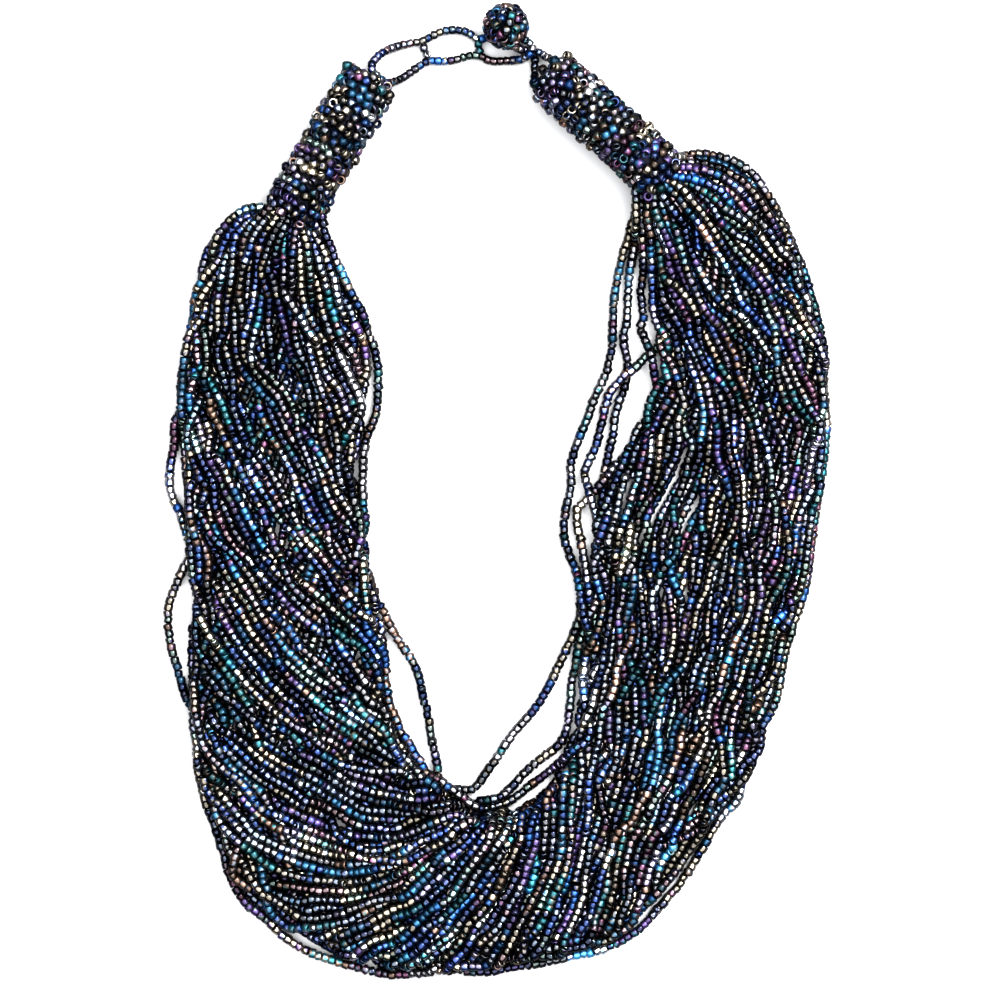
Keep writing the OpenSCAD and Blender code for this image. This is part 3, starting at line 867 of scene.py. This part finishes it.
def makeTube(name, node, tube, plan, rng):
    way = np.array((math.cos(math.radians(tube["turn"])), math.sin(math.radians(tube["turn"])), 0.0))
    side = np.array((-way[1], way[0], 0.0))
    up = np.array((0, 0, 1.0))
    start = np.array((*tube["at"], tubeSize["height"]))
    out, radius, turn = loosen(tubeSpots(tube["length"], plan, rng), plan).T
    radial = side * np.cos(turn)[:, None] + up * np.sin(turn)[:, None]
    around = up * np.cos(turn)[:, None] - side * np.sin(turn)[:, None]
    spots = start + way * out[:, None] + radial * radius[:, None]
    spots[:, 2] = np.clip(spots[:, 2], plan["lowest"], plan["highest"])
    count = len(out)
    lean = rng.uniform(0, math.pi, count)[:, None]
    tilt = np.where(rng.random(count) < plan["holeUp"], rng.normal(0, plan["holeTilt"], count),
                    rng.normal(0, plan["tilt"], count))
    along = way * np.cos(lean) + around * np.sin(lean) + radial * tilt[:, None]
    along /= np.linalg.norm(along, axis=1, keepdims=True)
    paint = beadColours(rng, np.arange(count) // plan["run"], plan["glow"])
    paint["satin"] = paint["satin"] + plan["satin"]
    piece = makeBeads(name, spots, along, rng.uniform(0, anySpin, count), rng.uniform(*plan["sizes"], count),
                      paint, tubeBead)
    enlist(piece, "tube_beads", node)
    core, bore, length = plan["core"], tubeSize["bore"] - plan["coreInset"], tube["length"]
    outline = [(core * 0.6, 0.4), (core, 1.0), (core, length - 0.6), (core - 0.6, length - 0.2),
               (bore, length - 0.2), (bore, length - plan["coreDepth"])]
    enlist(lathe(name + "Core", outline, start, way), "tube_beads", node)


tubeRng = np.random.default_rng(tubePlan["seed"])
makeTube("leftTube", "left_tube", tubes["left_tube"], tubePlan, tubeRng)
makeTube("rightTube", "right_tube", tubes["right_tube"], tubePlan, tubeRng)
print("tubes made")

# The clasp: a string of three loops with two rungs, the toggle ball and its two strings
claspRoutes = {
    "ladder": [[-33.3, 112.3, 6.8], [-33.3, 114.2, 6], [-31.5, 116.8, 4.2], [-29, 118.6, 2.4],
               [-26, 119.8, 1.3], [-23, 120.5, 1.1], [-20, 121, 1.1], [-17.4, 122.4, 1.1],
               [-14.4, 123.7, 1.1], [-11.2, 124, 1.1], [-8, 123.4, 1.1], [-5, 121.6, 1.1],
               [-1.8, 122.2, 1.1], [2, 122.3, 1.1], [5.3, 121.9, 1.4], [8, 120.8, 2.8], [9.6, 119, 3.5],
               [8.8, 117.1, 3], [6.3, 116, 1.7], [3.6, 115.8, 1.1], [1, 115.6, 1.1], [-1.8, 115.7, 1.1],
               [-4.5, 117, 1.1], [-7.7, 117, 1.1], [-11, 116, 1.1], [-14.2, 115.6, 1.1],
               [-18.4, 115.6, 1.1], [-21.5, 113.8, 1.1], [-24.5, 111.6, 1.3], [-27.1, 110, 3],
               [-29.3, 109.1, 5.4], [-31.6, 110.4, 6.5]],
    "rung1": [[-19.6, 119.1, 1.1], [-18.8, 117.4, 1.1]],
    "rung2": [[-4.9, 120.3, 1.1], [-4.6, 118.4, 1.1]],
    "stemUpper": [[4, 119.4, 4.4], [6, 118.7, 2.3], [8.4, 118.6, 1.1], [10.6, 118.3, 1.1], [12.6, 117.2, 1.7],
                  [14.4, 115.8, 3.7], [15.3, 114.9, 5.6]],
    "stemLower": [[10.3, 115.8, 1.1], [10.2, 113.6, 1.4], [10.2, 111.3, 2.8], [10.3, 109.2, 4.8]]
}
claspPlan = {
    "seed": 31, "pitch": 1.72, "tilt": 0.2, "sizes": (0.93, 1.06), "lowest": 1.17, "run": 5, "glow": 1.2,
    "closed": "ladder", "nodes": {"ladder": "clasp_ladder", "rung1": "clasp_rung_1", "rung2": "clasp_rung_2",
                                  "stemUpper": "stem_upper", "stemLower": "stem_lower"}
}
ballPlan = {"at": (2.5, 123.9, 8.1), "radius": 4.95, "beads": 62, "jitter": 0.25, "lean": 0.25,
            "sizes": (0.94, 1.06), "run": 3, "core": 4.2, "rings": 12, "sides": 24}


def makeClasp(plan, rng):
    for name, route in claspRoutes.items():
        closed = name == plan["closed"]
        line = route + [route[0]] if closed else route
        line = evenly(spline(line, 0.05) if len(line) > 2 else np.array(line, float), plan["pitch"])
        line = line[:-1] if closed else line
        line[:, 2] = np.maximum(line[:, 2], plan["lowest"])
        count = len(line)
        along = tangents(line, np.zeros(count)) + rng.normal(0, plan["tilt"], line.shape)
        piece = makeBeads(name + "Beads", line, along, rng.uniform(0, anySpin, count),
                          rng.uniform(*plan["sizes"], count),
                          beadColours(rng, np.arange(count) // plan["run"], plan["glow"]), claspBead)
        enlist(piece, "clasp_beads", plan["nodes"][name])


def makeBall(plan, rng):
    count = plan["beads"]
    k = np.arange(count)
    level = 1 - 2 * (k + 0.5) / count
    turn = k * math.pi * (3 - math.sqrt(5))
    flat = np.sqrt(1 - level ** 2)
    out = np.column_stack([flat * np.cos(turn), flat * np.sin(turn), level])
    jitter = rng.uniform(-plan["jitter"], plan["jitter"], (count, 1))
    spots = np.array(plan["at"]) + out * (plan["radius"] + jitter)
    along = np.cross(out, rng.normal(0, 1, out.shape)) + out * rng.normal(0, plan["lean"], (count, 1))
    along /= np.linalg.norm(along, axis=1, keepdims=True)
    piece = makeBeads("toggleBall", spots, along, rng.uniform(0, anySpin, count),
                      rng.uniform(*plan["sizes"], count), beadColours(rng, k // plan["run"]), tubeBead)
    enlist(piece, "clasp_beads", "toggle_ball")
    turns = [math.pi * (i + 0.5) / plan["rings"] for i in range(plan["rings"])]
    outline = [(plan["core"] * math.sin(t), -plan["core"] * math.cos(t)) for t in turns]
    core = lathe("toggleBallCore", outline, np.array(plan["at"]), np.array((1.0, 0, 0)), plan["sides"])
    enlist(core, "clasp_beads", "toggle_ball")


claspRng = np.random.default_rng(claspPlan["seed"])
makeClasp(claspPlan, claspRng)
makeBall(ballPlan, claspRng)
print("clasp made")

# Floor, lights and world
studio = {"floor": (0.3, 0.3, 0.305, 1), "half": 3.0, "level": -2e-4, "cloud": 3.0, "cloudDepth": 0.985,
          "rough": 0.7, "world": 0.034, "air": (0.14, 0.25, 1, 1),
          "lights": (("keyLight", (0.4, 0.34, 0.9), 0.3, 16.0), ("topLight", (0.05, 0.04, 1.0), 2.3, 79.6))}


def makeStudio(plan):
    mesh = bpy.data.meshes.new("floor")
    half = plan["half"]
    corners = ((-half, -half), (half, -half), (half, half), (-half, half))
    mesh.from_pydata([(x, y, plan["level"]) for x, y in corners], [], [(0, 1, 2, 3)])
    floor = bpy.data.objects.new("floor", mesh)
    bpy.context.collection.objects.link(floor)
    material, tree = newMaterial("floorPaper")
    place = add(tree, "ShaderNodeTexCoord", want="Object")
    cloud = add(tree, "ShaderNodeTexNoise", {}, {"Vector": place, "Scale": plan["cloud"]})
    pale = tuple(value * plan["cloudDepth"] for value in plan["floor"][:3]) + (1,)
    colour = add(tree, "ShaderNodeMix", {"data_type": "RGBA"}, {0: cloud, 6: plan["floor"], 7: pale}, 2)
    finishMaterial(tree, {"Base Color": colour, "Roughness": plan["rough"]})
    mesh.materials.append(material)
    for name, spot, width, power in plan["lights"]:
        data = bpy.data.lights.new(name, "AREA")
        data.shape, data.size, data.energy = "DISK", width, power
        light = bpy.data.objects.new(name, data)
        light.location = spot
        light.rotation_euler = (Vector((0, 0, 0)) - Vector(spot)).to_track_quat("-Z", "Y").to_euler()
        bpy.context.collection.objects.link(light)
    world = bpy.data.worlds.new("studioAir")
    world.use_nodes = True
    world.node_tree.nodes["Background"].inputs[0].default_value = plan["air"]
    world.node_tree.nodes["Background"].inputs[1].default_value = plan["world"]
    bpy.context.scene.world = world
    bpy.context.scene.view_settings.view_transform = "Standard"
    bpy.context.scene.view_settings.look = "High Contrast"


makeStudio(studio)
print("studio made")
print("triangles:", sum(pieceCount.values()), "most in one piece:", max(pieceCount.values()))
